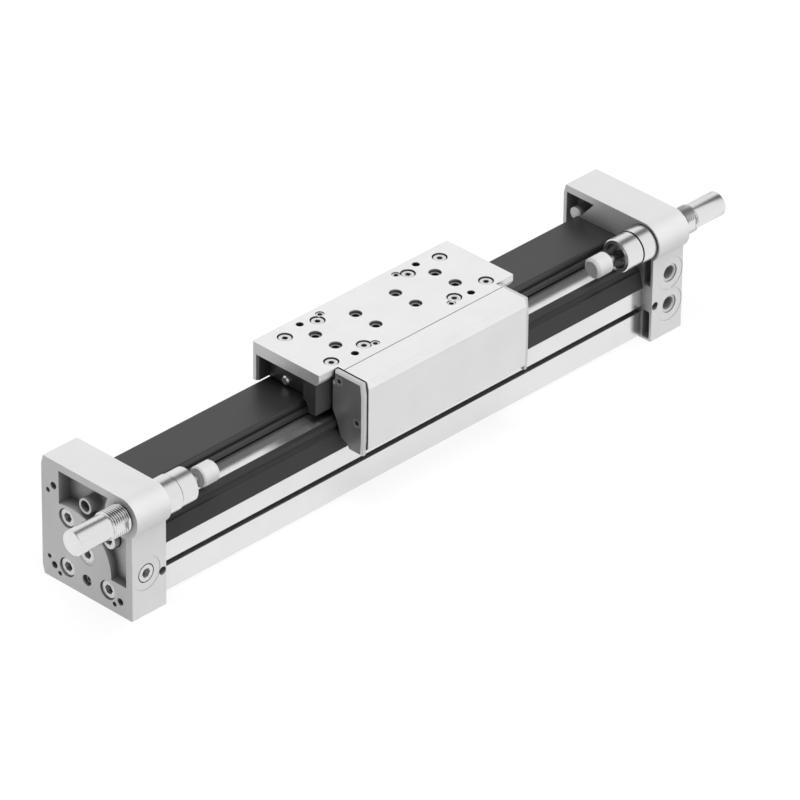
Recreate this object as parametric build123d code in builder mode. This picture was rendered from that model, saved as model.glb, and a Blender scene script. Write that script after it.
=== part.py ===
from build123d import *
import os

os.makedirs("parts", exist_ok=True)

# A rodless pneumatic cylinder with a guided carriage, in mm.
# X runs along the barrel, with X = 0 midway between the end caps' outer faces.
# Y = 0 is the bore's axis, the shock absorbers are on the -Y side, and Z = 0 is the underside.

# Overall sizes
overall_length = 414.4
cap_thickness = 24.0
carriage_offset = 13.1

# Bore, slot and bands
bore_diameter = 25.0
floor_thickness = 13.7
deck_thickness = 8.5
throat_width = 5.0
channel_width = 12.4
channel_depth = 5.7
band_thickness = 0.6
inner_band_width = 6.0
outer_band_width = 7.0
band_gap = 0.4
inner_band_drop = 2.7
clamp_length = 8.0

# Barrel section
tie_screw_spacing = 30.0
tie_screw_diameter = 6.0
tie_screw_fit = 0.02
rear_wall = 4.8
front_wall = 7.9
corner_radius = 3.2
duct_diameter = 5.0
sensor_slot_height = 18.3
sensor_slot_mouth = 3.45
sensor_slot_lip = 1.3
sensor_slot_width = 5.4
sensor_slot_depth = 3.8
sensor_slot_round = 0.8

# Guide rail, let into the barrel's front top edge
rail_height = 16.0
rail_base = 6.7
rail_top = 3.0
rail_proud = 0.3
ball_diameter = 4.0
ball_drop = 4.2
ball_count = 5
ball_pitch = 6.0
ball_clearance = 0.06
ball_offset = 0.65
cage_thickness = 0.6
cage_height = 6.0
cage_margin = 4.0
ball_end_margin = 6.0

# Top cover
cover_height = 8.8
cover_front = 8.0
cover_overhang = 0.2
cover_wall = 3.2
cover_roof = 2.6
cover_rear_seat = 15.0
slit_height = 1.5
shoulder_inset = 1.4
shoulder_radius = 1.4
shoulder_height = 2.5
groove_inset = 2.2
groove_slope = 0.2
ridge_height = 3.2
ridge_round = 1.2

# End caps
cap_rise = 16.0
cap_half_width = 33.4
cap_taper = 1.4
cap_taper_height = 5.3
cap_corner_round = 0.8
bulge_radius = 11.7
bulge_inset = 7.5
bulge_wall = 0.4
tie_head_diameter = 10.0
tie_head_height = 6.0
tie_head_recess = 7.0
tie_counterbore = 11.2
tie_clearance = 0.4
tie_screw_grip = 16.0
tie_hex = 5.0
pocket_depth = 8.0
pocket_margin = 4.5
pocket_front = 17.0
pocket_rear = 20.6
pocket_height = 23.5
low_pocket_depth = 4.8
low_pocket_inner = 8.0
low_pocket_bottom = 18.7
low_pocket_top = 50.1
web_radius = 29.8
web_centre_y = 12.0
web_centre_z = 19.0
boss_diameter = 9.0
boss_bore = 6.4
boss_y = 0.9
boss_z = 55.0
mount_hole = 4.2
mount_hole_depth = 8.5
mount_hole_y = 24.4
mount_hole_z = 8.4
mount_hole_top = 15.2
mount_boss_wall = 1.7
mount_boss_shift = 2.0
pin_hole = 2.8
pin_hole_depth = 4.0
pin_hole_places = [(28.6, 52.6), (28.1, 12.3), (20.4, 5.0), (-20.1, 5.0)]
port_core = 8.8
port_depth = 8.0
port_inset = 10.0
port_ring = 19.7
port_ring_depth = 0.25
port_mouth_depth = 1.0
port_passage = 5.0
port_pitch = 19.6
port_low_z = 18.4
plug_port_z = 25.5
plug_diameter = 11.0
plug_head = 4.0
plug_hex = 5.0
plug_hex_depth = 4.0
plug_clearance = 1.2
side_hole = 4.8
side_hole_depth = 5.0
side_hole_from_port = 11.5
side_hole_z = 21.8
thread_fit = 0.02
chamber_diameter = 12.0
chamber_depth = 15.0
axial_plug_diameter = 9.7
axial_plug_length = 7.0
axial_ring = 13.0
cushion_screw_diameter = 5.2
cushion_screw_length = 9.0
cushion_screw_sunk = 2.0
cushion_hex = 2.5
cushion_hex_depth = 2.0
cushion_counterbore = 6.5
cushion_counterbore_depth = 4.0
cushion_hole_depth = 12.0
cushion_y = 0.3
cushion_z = 10.1
inner_pocket_depth = 9.0
inner_pocket_top = 11.0
inner_pocket_low = 21.1
inner_pocket_rise = 0.3
inner_pocket_drop = 4.0
inner_pocket_wall = 1.0
rear_skin = 2.2
top_skin = 4.2
front_pocket_depth = 7.0
front_pocket_wall = 1.6
front_pocket_width = 5.0
front_pocket_bottom = 1.2
front_pocket_height = 17.0
front_pocket_corner = 0.8
front_recess_bottom = 34.3
front_recess_height = 20.7

# Bore plugs with cushion spigots
bore_plug_length = 6.0
bore_plug_fit = 0.1
plug_stem_length = 8.0
plug_stem_fit = 0.05
spigot_diameter = 9.8
spigot_length = 22.0
spigot_bore = 4.0
spigot_taper_length = 1.5
spigot_taper = 1.0
ring_width = 2.8
ring_depth = 2.0

# Piston and driver yoke
piston_length = 136.0
piston_head_length = 16.0
piston_fit = 0.05
piston_waist_diameter = 20.0
piston_chamfer = 1.0
seal_inset = 3.0
seal_fit = 0.02
wear_ring_inset = 9.0
wear_ring_width = 4.0
wear_ring_depth = 1.1
cushion_bore_clearance = 0.4
cushion_bore_depth = 26.0
magnet_width = 6.0
magnet_place = 34.0
magnet_fit = 0.3
saddle_length = 48.0
yoke_length = 36.0
yoke_gap = 0.3
yoke_foot = 1.5
yoke_foot_width = 13.0
yoke_foot_fit = 0.15
yoke_end_fit = 0.1
yoke_bar = 1.0
yoke_plate = 1.0
yoke_lift = 0.25
yoke_screw_spacing = 20.0
yoke_screw_fit = 0.1
yoke_head_fit = 0.2
yoke_head_sunk = 3.0

# Carriage
plate_length = 146.2
plate_thickness = 7.0
plate_rear = 28.5
plate_front = 21.1
plate_wide_front = 25.5
plate_end_chamfer = 3.6
plate_end_undercut = 2.6
plate_corner_round = 1.0
plate_lift = 15.5
leg_thickness = 3.2
leg_drop = 16.0
cover_gap = 0.6
end_block_length = 10.4
end_plate_setback = 13.6
body_rear = 23.4
body_side_gap = 0.9
body_front_step = 1.7
block_clearance = 0.4
guide_gap_top = 0.6
guide_gap_foot = 1.9
guide_foot_rise = 7.1
guide_lift = 0.8
guide_toe = 3.0
side_front = 43.6
side_wall = 2.5
side_bottom = 36.6
side_lean = 1.4
side_chamfer = 4.3
side_back = 25.9
side_gap = 0.1
side_foot_chamfer = 1.2
side_foot_width = 3.0
end_plate_thickness = 3.5
end_plate_bevel = 1.1
end_plate_gap = 0.5
end_block_thickness = 3.1
pillar_front = 18.3
pillar_back = 9.3
pillar_drop = 3.0
pillar_arc = 6.6
pillar_arc_inset = 1.5
pillar_arc_drop = 2.0
liner_thickness = 1.5
liner_gap = 0.3
wiper_thickness = 1.6
wiper_height = 2.2
wiper_gap = 0.2
wiper_front = 5.0
nipple_diameter = 5.5
nipple_y = 10.3
nipple_rise = 3.4
nipple_shank = 3.6
nipple_fit = 0.1
nipple_wiper_gap = 0.5
nipple_head_height = 1.0
nipple_tip_height = 0.6
nipple_tip_taper = 0.8

# Carriage holes and screws
plate_screw_diameter = 4.0
plate_screw_head = 7.0
plate_screw_head_height = 4.0
plate_screw_hex = 3.0
plate_screw_hex_depth = 2.0
plate_screw_clearance = 0.4
plate_counterbore = 8.5
plate_counterbore_depth = 4.6
plate_screw_grip = 8.0
plate_screw_edge = 4.5
plate_screw_inner = 34.0
plate_screw_spacing_y = 34.2
plate_screw_y = 2.2
thread_core = 4.2
centring_diameter = 7.1
centring_depth = 1.6
thread_outer = 45.0
thread_inner = 15.0
thread_spacing_y = 14.9
dowel_diameter = 4.3
dowel_place = 43.65
dowel_spacing_y = 40.7
set_screw_diameter = 5.0
set_screw_depth = 5.0
set_screw_sunk = 0.4
set_screw_fit = 0.1
set_screw_hex = 2.5
set_screw_place = 28.6
set_screw_spacing_y = 40.9
plate_pattern_y = 2.5
end_screw_head = 6.0
end_screw_head_height = 1.8
end_screw_diameter = 3.0
end_screw_length = 9.0
end_screw_hex = 2.5
end_screw_hex_depth = 1.2
end_screw_clearance = 0.2
end_screw_head_fit = 0.3
end_screw_inset = 0.5
end_screw_drop = 5.6
end_screw_wall = 2.5
end_screw_rise = 16.4

# Shock absorbers
shock_thread = 16.0
shock_fit = 0.05
shock_thread_out = 12.6
shock_reach = 34.4
shock_plain = 14.3
shock_edge = 0.6
shock_thread_chamfer = 0.8
shock_flat = 6.9
shock_flat_length = 9.0
shock_flat_inset = 1.5
shock_flat_cut = 4.0
shock_bore = 8.6
shock_gland = 2.5
shock_back_wall = 6.0
shock_front_gap = 2.0
nut_flats = 18.0
nut_thickness = 7.5
nut_pocket = 20.8
nut_pocket_depth = 9.0
nut_gap = 0.3
sleeve_length = 21.8
sleeve_step = 10.0
sleeve_wide = 20.4
sleeve_narrow = 19.4
sleeve_mouth = 14.0
sleeve_groove = 0.6
sleeve_thread_length = 6.0
sleeve_edge = 0.5
sleeve_mouth_edge = 0.6
buffer_reach = 41.3
buffer_diameter = 12.0
buffer_length = 11.5
buffer_round = 1.5
buffer_bow = 0.45
buffer_edge = 0.8
buffer_wall = 4.0
buffer_travel = 19.0
rod_diameter = 4.0
rod_fit = 0.05
rod_piston_length = 4.0
rod_piston_fit = 0.1
rod_piston_gap = 0.3

# Places worked out from the sizes above
barrel_half = overall_length / 2 - cap_thickness
bore_radius = bore_diameter / 2
bore_axis = floor_thickness + bore_radius
deck = bore_axis + bore_radius + deck_thickness
channel_floor = deck - channel_depth
tie_radius = tie_screw_diameter / 2
rail_back = tie_screw_spacing / 2 + front_wall - rail_top - rail_proud
barrel_front = rail_back + rail_base - rail_proud
barrel_rear = tie_screw_spacing / 2 + tie_radius + rear_wall
rail_foot = deck - rail_height
cover_top = deck + cover_height
cover_rear = barrel_rear + cover_overhang
slit_top = deck + slit_height
cap_height = cover_top + cap_rise
shock_y = -(cap_half_width - bulge_inset)
shock_z = cap_height - bulge_radius
inner_band_base = bore_axis + bore_radius - inner_band_drop - band_thickness
notch_floor = inner_band_base - band_gap
notch_width = inner_band_width + 2 * band_gap
plate_bottom = cover_top + plate_lift
plate_top = plate_bottom + plate_thickness
body_length = plate_length - 2 * end_block_length
side_length = plate_length - 2 * end_plate_setback
plate_screw_outer = body_length / 2 - plate_screw_edge
body_floor = cover_top - cover_roof
side_top = plate_top - side_wall
side_inner = side_front - side_wall
guide_foot = rail_foot + guide_foot_rise


def across(x):
    """A plane across the barrel at x: its x is the cylinder's Y, its y is Z, its normal +X."""
    return Plane(origin=(x, 0, 0), x_dir=(0, 1, 0), z_dir=(1, 0, 0))


def four_about(x, y, spacing_x, spacing_y):
    """The corners of a rectangle about a point, as places for a hole pattern."""
    return [(x + i * spacing_x / 2, y + j * spacing_y / 2) for i in (-1, 1) for j in (-1, 1)]


def rounds(plane, places, diameter, amount, mode=Mode.SUBTRACT):
    """Cut round holes, or add round pins, at places on a plane."""
    with BuildSketch(plane) as circles:
        with Locations(*places):
            Circle(diameter / 2)
    extrude(circles.sketch, amount=amount, mode=mode)


def hexagons(plane, places, flats, amount, mode=Mode.SUBTRACT):
    """Cut hexagon sockets, or add hexagon heads, at places on a plane."""
    with BuildSketch(plane) as sockets:
        with Locations(*places):
            RegularPolygon(flats / 2, 6, major_radius=False)
    extrude(sockets.sketch, amount=amount, mode=mode)


def keep_wall_rounds():
    """Keep a pocket's sketch off the web circle and off the wall round the shock absorber."""
    with Locations((web_centre_y, web_centre_z)):
        Circle(web_radius, mode=Mode.SUBTRACT)
    with Locations((shock_y, shock_z)):
        Circle(bulge_radius + bulge_wall, mode=Mode.SUBTRACT)


def turn(profile, y, z, mode=Mode.ADD):
    """Turn a closed list of (x, radius) points about the line along X at y, z."""
    half_plane = Plane(origin=(0, y, z), x_dir=(1, 0, 0), z_dir=(0, -1, 0))
    with BuildSketch(half_plane) as half_section:
        with BuildLine():
            Polyline(*profile, close=True)
        make_face()
    revolve(half_section.sketch, axis=Axis((0, y, z), (1, 0, 0)), mode=mode)


def rail_face_y(height):
    """Y of the guide rail's slanted front face at a height."""
    lean = (barrel_front + rail_proud - rail_back - rail_top) / rail_height
    return -(rail_back + rail_top + (deck - height) * lean)


ball_z = deck - ball_drop
ball_y = rail_face_y(ball_z) - ball_offset
tie_places = four_about(0, bore_axis, tie_screw_spacing, tie_screw_spacing)
mount_hole_places = [
    (mount_hole_y, cap_height - mount_hole_top),
    (mount_hole_y, mount_hole_z),
    (-mount_hole_y, mount_hole_z),
]
end_screw_places = [
    (-side_back + end_screw_inset, plate_top - end_screw_drop),
    (-side_inner + end_screw_wall, side_bottom + end_screw_rise),
]

with BuildPart() as barrel:
    with BuildSketch(across(0)) as barrel_section:
        with BuildLine():
            Polyline(
                (-barrel_front, 0),
                (barrel_rear, 0),
                (barrel_rear, deck),
                (-rail_back, deck),
                (-rail_back, rail_foot),
                (-barrel_front, rail_foot),
                close=True,
            )
        make_face()
        fillet(barrel_section.vertices().group_by(Axis.Y)[0].sort_by(Axis.X)[0], corner_radius)
        with Locations((0, bore_axis)):
            Circle(bore_radius, mode=Mode.SUBTRACT)
            with GridLocations(tie_screw_spacing, tie_screw_spacing, 2, 2):
                Circle(tie_radius + tie_screw_fit, mode=Mode.SUBTRACT)
        with Locations((0, (bore_axis + deck) / 2)):
            Rectangle(throat_width, deck - bore_axis, mode=Mode.SUBTRACT)
        with Locations((0, deck - channel_depth / 2)):
            Rectangle(channel_width, channel_depth, mode=Mode.SUBTRACT)
        with Locations((barrel_rear - rear_wall, bore_axis + rear_wall)):
            Circle(duct_diameter / 2, mode=Mode.SUBTRACT)
        for face_y, inward in ((-barrel_front, 1), (barrel_rear, -1)):
            with Locations((face_y + inward * sensor_slot_lip / 2, sensor_slot_height)):
                Rectangle(sensor_slot_lip, sensor_slot_mouth, mode=Mode.SUBTRACT)
            chamber_y = face_y + inward * (sensor_slot_lip + sensor_slot_depth / 2)
            with Locations((chamber_y, sensor_slot_height)):
                RectangleRounded(sensor_slot_depth, sensor_slot_width, sensor_slot_round, mode=Mode.SUBTRACT)
    extrude(amount=barrel_half, both=True)
barrel.part.label = "barrel_profile"
export_step(barrel.part, "parts/barrel_profile.step")

with BuildPart() as guide_rail:
    with BuildSketch(across(0)):
        with BuildLine():
            Polyline(
                (-rail_back, rail_foot),
                (-rail_back, deck),
                (rail_face_y(deck), deck),
                (rail_face_y(rail_foot), rail_foot),
                close=True,
            )
        make_face()
        with Locations((ball_y, ball_z)):
            Circle(ball_diameter / 2 + ball_clearance, mode=Mode.SUBTRACT)
    extrude(amount=barrel_half, both=True)
guide_rail.part.label = "guide_rail"
export_step(guide_rail.part, "parts/guide_rail.step")

# Cover: a rounded shoulder over a groove and a ridge, and the driver's slit under the ridge
shoulder_y = -cover_front + shoulder_inset
groove_y = -cover_front + groove_inset
ridge_top = slit_top + ridge_height
with BuildPart() as top_cover:
    with BuildSketch(across(0)):
        with BuildLine():
            Polyline(
                (cover_rear, deck),
                (cover_rear, cover_top),
                (shoulder_y + shoulder_radius, cover_top),
            )
            TangentArc(
                (shoulder_y + shoulder_radius, cover_top),
                (shoulder_y, cover_top - shoulder_radius),
                tangent=(-1, 0),
            )
            Polyline(
                (shoulder_y, cover_top - shoulder_radius),
                (shoulder_y, cover_top - shoulder_height),
                (groove_y, cover_top - shoulder_height - groove_slope),
                (groove_y, ridge_top),
                (-cover_front + ridge_round, ridge_top),
            )
            TangentArc(
                (-cover_front + ridge_round, ridge_top),
                (-cover_front, ridge_top - ridge_round),
                tangent=(-1, 0),
            )
            Polyline(
                (-cover_front, ridge_top - ridge_round),
                (-cover_front, slit_top),
                (-cover_front + cover_wall, slit_top),
                (-cover_front + cover_wall, cover_top - cover_roof),
                (cover_rear - cover_rear_seat, cover_top - cover_roof),
                (cover_rear - cover_rear_seat, deck),
                (cover_rear, deck),
            )
        make_face()
    extrude(amount=barrel_half, both=True)
top_cover.part.label = "top_cover"
export_step(top_cover.part, "parts/top_cover.step")

with BuildPart() as inner_band:
    with BuildSketch(across(0)):
        with Locations((0, inner_band_base + band_thickness / 2)):
            Rectangle(inner_band_width, band_thickness)
    extrude(amount=barrel_half, both=True)
inner_band.part.label = "inner_band"
export_step(inner_band.part, "parts/inner_band.step")

outer_band_base = channel_floor + 2 * yoke_gap + yoke_bar
with BuildPart() as outer_band:
    with BuildSketch(across(0)):
        with Locations((0, outer_band_base + band_thickness / 2)):
            Rectangle(outer_band_width, band_thickness)
    extrude(amount=barrel_half, both=True)
outer_band.part.label = "outer_band"
export_step(outer_band.part, "parts/outer_band.step")

for side, name in ((-1, "left"), (1, "right")):
    with BuildPart() as band_clamp:
        with BuildSketch(across(side * barrel_half)):
            with Locations((0, deck - channel_depth / 2)):
                Rectangle(channel_width, channel_depth)
            with Locations((0, outer_band_base + band_thickness / 2)):
                Rectangle(outer_band_width, band_thickness, mode=Mode.SUBTRACT)
        extrude(amount=-side * clamp_length)
    band_clamp.part.label = f"band_clamp_{name}"
    export_step(band_clamp.part, f"parts/band_clamp_{name}.step")

# End caps: a plate with a pocket in the outer face round a big web circle, hollows behind,
# and a bulge that carries the shock absorber
for side, name in ((-1, "left"), (1, "right")):
    outer = side * overall_length / 2
    inner = side * barrel_half
    with BuildPart() as end_cap:
        with BuildSketch(across(outer)) as cap_outline:
            with BuildLine():
                Polyline(
                    (-cap_half_width, 0),
                    (cap_half_width - cap_taper, 0),
                    (cap_half_width, cap_taper_height),
                    (cap_half_width, cap_height - cap_taper_height),
                    (cap_half_width - cap_taper, cap_height),
                    (shock_y, cap_height),
                    (shock_y, shock_z),
                    (-cap_half_width, shock_z),
                    close=True,
                )
            make_face()
            fillet(cap_outline.vertices().group_by(Axis.X)[0], cap_corner_round)
            with Locations((shock_y, shock_z)):
                Circle(bulge_radius)
        extrude(amount=-side * cap_thickness)

        pocket_middle = cap_height - pocket_margin - pocket_height / 2
        with BuildSketch(across(outer)):
            with Locations(((pocket_rear - pocket_front) / 2, pocket_middle)):
                Rectangle(pocket_rear + pocket_front, pocket_height)
            keep_wall_rounds()
            with Locations((boss_y, boss_z)):
                Circle(boss_diameter / 2, mode=Mode.SUBTRACT)
        extrude(amount=-side * pocket_depth, mode=Mode.SUBTRACT)
        low_pocket_front = cap_half_width - pocket_margin
        with BuildSketch(across(outer)):
            low_pocket_y = -(low_pocket_front + low_pocket_inner) / 2
            with Locations((low_pocket_y, (low_pocket_bottom + low_pocket_top) / 2)):
                Rectangle(low_pocket_front - low_pocket_inner, low_pocket_top - low_pocket_bottom)
            keep_wall_rounds()
        extrude(amount=-side * low_pocket_depth, mode=Mode.SUBTRACT)

        rounds(across(outer), tie_places, tie_screw_diameter + tie_clearance, -side * cap_thickness)
        rounds(across(outer), tie_places, tie_counterbore, -side * tie_head_recess)
        rounds(across(outer), [(boss_y, boss_z)], boss_bore, -side * axial_plug_length)
        rounds(across(outer), [(0, bore_axis)], axial_plug_diameter, -side * axial_plug_length)
        rounds(across(outer), [(0, bore_axis)], axial_ring, -side * port_ring_depth)
        rounds(across(inner), [(0, bore_axis)], chamber_diameter, side * chamber_depth)
        rounds(across(outer), [(cushion_y, cushion_z)], cushion_counterbore, -side * cushion_counterbore_depth)
        rounds(across(outer), [(cushion_y, cushion_z)], cushion_screw_diameter, -side * cushion_hole_depth)
        rounds(across(outer), mount_hole_places, mount_hole, -side * mount_hole_depth)
        rounds(across(outer), pin_hole_places, pin_hole, -side * pin_hole_depth)
        rounds(across(outer), [(shock_y, shock_z)], shock_thread + 2 * shock_fit, -side * cap_thickness)
        rounds(across(inner), [(shock_y, shock_z)], nut_pocket, side * nut_pocket_depth)

        with BuildSketch(across(inner)):
            rear_inside = cap_half_width - rear_skin
            with BuildLine():
                Polyline(
                    (rear_inside, cap_taper_height),
                    (rear_inside, cap_height - top_skin),
                    (inner_pocket_top, cap_height - top_skin),
                    (inner_pocket_low, cover_top + inner_pocket_rise),
                    (cover_rear + inner_pocket_wall, cover_top - inner_pocket_drop),
                    (cover_rear + inner_pocket_wall, cap_taper_height),
                    close=True,
                )
            make_face()
            boss_places = [mount_hole_places[0], (mount_hole_y + mount_boss_shift, mount_hole_z)]
            with Locations(*boss_places):
                Circle(mount_hole / 2 + mount_boss_wall, mode=Mode.SUBTRACT)
        extrude(amount=side * inner_pocket_depth, mode=Mode.SUBTRACT)
        with BuildSketch(across(inner)):
            front_pocket_y = -cap_half_width + front_pocket_wall + front_pocket_width / 2
            with Locations((front_pocket_y, front_pocket_bottom + front_pocket_height / 2)):
                RectangleRounded(front_pocket_width, front_pocket_height, front_pocket_corner)
            with Locations((front_pocket_y, front_recess_bottom + front_recess_height / 2)):
                Rectangle(front_pocket_width, front_recess_height)
        extrude(amount=side * front_pocket_depth, mode=Mode.SUBTRACT)

        side_plane = Plane(origin=(outer - side * port_inset, -cap_half_width, 0),
                           x_dir=(1, 0, 0), z_dir=(0, -1, 0))
        port_heights = [plug_port_z] if side < 0 else [port_low_z, port_low_z + port_pitch]
        port_places = [(0, height) for height in port_heights]
        mouth_depth = plug_head if side < 0 else port_mouth_depth
        rounds(side_plane, port_places, port_ring, -port_ring_depth)
        rounds(side_plane, port_places, port_core, -port_depth)
        rounds(side_plane, port_places, plug_diameter, -mouth_depth)
        rounds(side_plane, port_places[:1], port_passage, -cap_half_width)
        rounds(side_plane, [(-side * side_hole_from_port, side_hole_z)], side_hole, -side_hole_depth)
    end_cap.part.label = f"end_cap_{name}"
    export_step(end_cap.part, f"parts/end_cap_{name}.step")

    head_face = across(outer - side * (tie_head_recess - tie_head_height))
    tie_length = tie_head_height + cap_thickness - tie_head_recess + tie_screw_grip
    with BuildPart() as cap_screws:
        rounds(head_face, tie_places, tie_head_diameter, -side * tie_head_height, Mode.ADD)
        rounds(head_face, tie_places, tie_screw_diameter, -side * tie_length, Mode.ADD)
        hexagons(head_face, tie_places, tie_hex, -side * tie_head_height / 2)
    cap_screws.part.label = f"cap_screws_{name}"
    export_step(cap_screws.part, f"parts/cap_screws_{name}.step")

    plug_end = across(outer - side * port_ring_depth)
    plug_length = axial_plug_length - port_ring_depth
    plug_place = [(0, bore_axis)]
    with BuildPart() as axial_plug:
        rounds(plug_end, plug_place, axial_plug_diameter - 2 * thread_fit, -side * plug_length, Mode.ADD)
        hexagons(plug_end, plug_place, plug_hex, -side * plug_hex_depth)
    axial_plug.part.label = f"axial_plug_{name}"
    export_step(axial_plug.part, f"parts/axial_plug_{name}.step")

    cushion_end = across(outer - side * cushion_screw_sunk)
    cushion_place = [(cushion_y, cushion_z)]
    cushion_core = cushion_screw_diameter - 2 * thread_fit
    with BuildPart() as cushion_screw:
        rounds(cushion_end, cushion_place, cushion_core, -side * cushion_screw_length, Mode.ADD)
        hexagons(cushion_end, cushion_place, cushion_hex, -side * cushion_hex_depth)
    cushion_screw.part.label = f"cushion_screw_{name}"
    export_step(cushion_screw.part, f"parts/cushion_screw_{name}.step")

    # Bore plug: head in the barrel, stem in the cap's air chamber, cushion spigot towards the piston
    groove_start = inner - side * (bore_plug_length - ring_width) / 2
    groove_end = groove_start - side * ring_width
    head_end = inner - side * bore_plug_length
    stem_end = inner + side * plug_stem_length
    spigot_end = head_end - side * spigot_length
    head_radius = bore_radius - bore_plug_fit
    stem_radius = chamber_diameter / 2 - plug_stem_fit
    spigot_radius = spigot_diameter / 2
    with BuildPart() as bore_plug:
        turn(
            [
                (stem_end, 0),
                (stem_end, stem_radius),
                (inner, stem_radius),
                (inner, head_radius),
                (groove_start, head_radius),
                (groove_start, head_radius - ring_depth),
                (groove_end, head_radius - ring_depth),
                (groove_end, head_radius),
                (head_end, head_radius),
                (head_end, spigot_radius),
                (spigot_end + side * spigot_taper_length, spigot_radius),
                (spigot_end, spigot_radius - spigot_taper),
                (spigot_end, 0),
            ],
            0,
            bore_axis,
        )
        plug_run = plug_stem_length + bore_plug_length + spigot_length
        rounds(across(stem_end), [(0, bore_axis)], spigot_bore, -side * plug_run)
        with BuildSketch(across(inner)):
            with Locations((0, notch_floor + bore_radius)):
                Rectangle(notch_width, 2 * bore_radius)
        extrude(amount=-side * bore_plug_length, mode=Mode.SUBTRACT)
    bore_plug.part.label = f"bore_plug_{name}"
    export_step(bore_plug.part, f"parts/bore_plug_{name}.step")

    with BuildPart() as plug_seal:
        with BuildSketch(across(groove_start)):
            with Locations((0, bore_axis)):
                Circle(bore_radius - seal_fit)
                Circle(head_radius - ring_depth, mode=Mode.SUBTRACT)
            with Locations((0, notch_floor + bore_radius)):
                Rectangle(notch_width, 2 * bore_radius, mode=Mode.SUBTRACT)
        extrude(amount=-side * ring_width)
    plug_seal.part.label = f"plug_seal_{name}"
    export_step(plug_seal.part, f"parts/plug_seal_{name}.step")

    # Shock absorber, turned about its own axis
    shock_back = outer + side * shock_reach
    shock_front = inner - side * (sleeve_length - buffer_travel + shock_front_gap)
    thread_end = outer + side * shock_thread_out
    gland_inner = shock_front + side * shock_gland
    bore_end = shock_back - side * shock_back_wall
    thread_radius = shock_thread / 2
    plain_radius = shock_plain / 2
    rod_radius = rod_diameter / 2
    with BuildPart() as shock_body:
        turn(
            [
                (shock_back, 0),
                (shock_back, plain_radius - shock_edge),
                (shock_back - side * shock_edge, plain_radius),
                (thread_end, plain_radius),
                (thread_end - side * shock_thread_chamfer, thread_radius),
                (shock_front, thread_radius),
                (shock_front, rod_radius + rod_fit),
                (gland_inner, rod_radius + rod_fit),
                (gland_inner, shock_bore / 2),
                (bore_end, shock_bore / 2),
                (bore_end, 0),
            ],
            shock_y,
            shock_z,
        )
        with BuildSketch(across(outer + side * shock_flat_inset)):
            for flat_side in (-1, 1):
                with Locations((shock_y + flat_side * (shock_flat + shock_flat_cut / 2), shock_z)):
                    Rectangle(shock_flat_cut, shock_thread)
        extrude(amount=side * shock_flat_length, mode=Mode.SUBTRACT)
    shock_body.part.label = f"shock_body_{name}"
    export_step(shock_body.part, f"parts/shock_body_{name}.step")

    nut_face = across(inner + side * nut_gap)
    with BuildPart() as lock_nut:
        hexagons(nut_face, [(shock_y, shock_z)], nut_flats, side * nut_thickness, Mode.ADD)
        rounds(nut_face, [(shock_y, shock_z)], shock_thread + 2 * shock_fit, side * nut_thickness)
    lock_nut.part.label = f"lock_nut_{name}"
    export_step(lock_nut.part, f"parts/lock_nut_{name}.step")

    sleeve_end = inner - side * sleeve_length
    step_start = inner - side * sleeve_step
    step_end = step_start - side * sleeve_groove
    sleeve_thread_end = inner - side * sleeve_thread_length
    wide_radius = sleeve_wide / 2
    narrow_radius = sleeve_narrow / 2
    with BuildPart() as stop_sleeve:
        turn(
            [
                (inner, thread_radius + shock_fit),
                (inner, wide_radius - sleeve_edge),
                (inner - side * sleeve_edge, wide_radius),
                (step_start, wide_radius),
                (step_start, narrow_radius - sleeve_groove),
                (step_end, narrow_radius - sleeve_groove),
                (step_end, narrow_radius),
                (sleeve_end + side * sleeve_mouth_edge, narrow_radius),
                (sleeve_end, narrow_radius - sleeve_mouth_edge),
                (sleeve_end, sleeve_mouth / 2),
                (sleeve_thread_end, sleeve_mouth / 2),
                (sleeve_thread_end, thread_radius + shock_fit),
            ],
            shock_y,
            shock_z,
        )
    stop_sleeve.part.label = f"stop_sleeve_{name}"
    export_step(stop_sleeve.part, f"parts/stop_sleeve_{name}.step")

    buffer_tip = inner - side * buffer_reach
    buffer_back = buffer_tip + side * buffer_length
    socket_end = buffer_tip + side * buffer_wall
    bow = buffer_bow * buffer_round
    buffer_radius = buffer_diameter / 2
    with BuildPart() as buffer_pad:
        turn(
            [
                (buffer_tip, 0),
                (buffer_tip, buffer_radius - buffer_round),
                (buffer_tip + side * bow, buffer_radius - bow),
                (buffer_tip + side * buffer_round, buffer_radius),
                (buffer_back - side * buffer_edge, buffer_radius),
                (buffer_back, buffer_radius - buffer_edge),
                (buffer_back, rod_radius),
                (socket_end, rod_radius),
                (socket_end, 0),
            ],
            shock_y,
            shock_z,
        )
    buffer_pad.part.label = f"buffer_{name}"
    export_step(buffer_pad.part, f"parts/buffer_{name}.step")

    rod_end = gland_inner + side * rod_piston_gap
    rod_piston_radius = shock_bore / 2 - rod_piston_fit
    with BuildPart() as buffer_rod:
        turn(
            [
                (socket_end, 0),
                (socket_end, rod_radius),
                (rod_end, rod_radius),
                (rod_end, rod_piston_radius),
                (rod_end + side * rod_piston_length, rod_piston_radius),
                (rod_end + side * rod_piston_length, 0),
            ],
            shock_y,
            shock_z,
        )
    buffer_rod.part.label = f"buffer_rod_{name}"
    export_step(buffer_rod.part, f"parts/buffer_rod_{name}.step")

with BuildPart() as side_plug:
    plug_face = Plane(origin=(-overall_length / 2 + port_inset, -cap_half_width + port_ring_depth, 0),
                      x_dir=(1, 0, 0), z_dir=(0, -1, 0))
    plug_place = [(0, plug_port_z)]
    rounds(plug_face, plug_place, plug_diameter - plug_clearance, port_ring_depth - plug_head, Mode.ADD)
    rounds(plug_face, plug_place, port_core - 2 * thread_fit, port_ring_depth - port_depth, Mode.ADD)
    hexagons(plug_face, plug_place, plug_hex, -plug_hex_depth)
side_plug.part.label = "side_plug_left"
export_step(side_plug.part, "parts/side_plug_left.step")

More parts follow.
